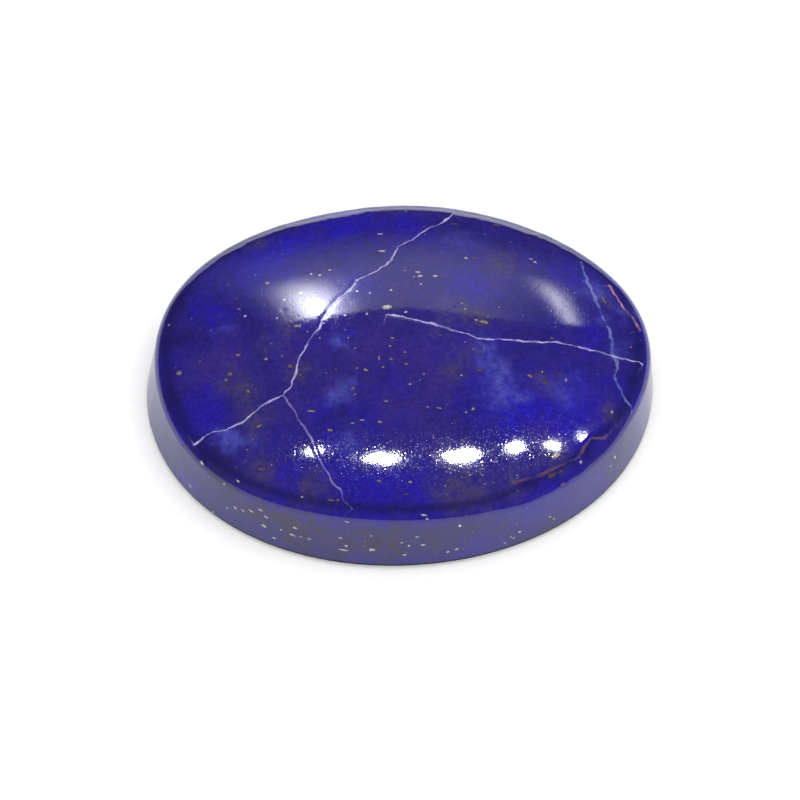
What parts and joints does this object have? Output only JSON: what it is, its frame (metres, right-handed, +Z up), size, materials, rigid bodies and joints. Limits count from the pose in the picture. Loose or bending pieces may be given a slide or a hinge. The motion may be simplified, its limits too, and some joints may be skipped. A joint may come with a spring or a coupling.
{
  "type": "lapis lazuli cabochon",
  "caption": "Polished oval cabochon of deep blue lapis lazuli with pale veins and brassy flecks: a low dome on a leaning wall, flat underneath.",
  "frame": {"origin": "middle of the flat base, on the surface that the stone lies on", "axes": "+X along the stone's length, +Y across it towards the far side, +Z up through the dome"},
  "size_m": [0.0197, 0.0153, 0.0046],
  "materials": {
    "lapis_lazuli": "polished, with pale calcite veins and fine pyrite flecks"
  },
  "bodies": {
    "root": {"cabochon": "lapis_lazuli"}
  },
  "joints": []
}
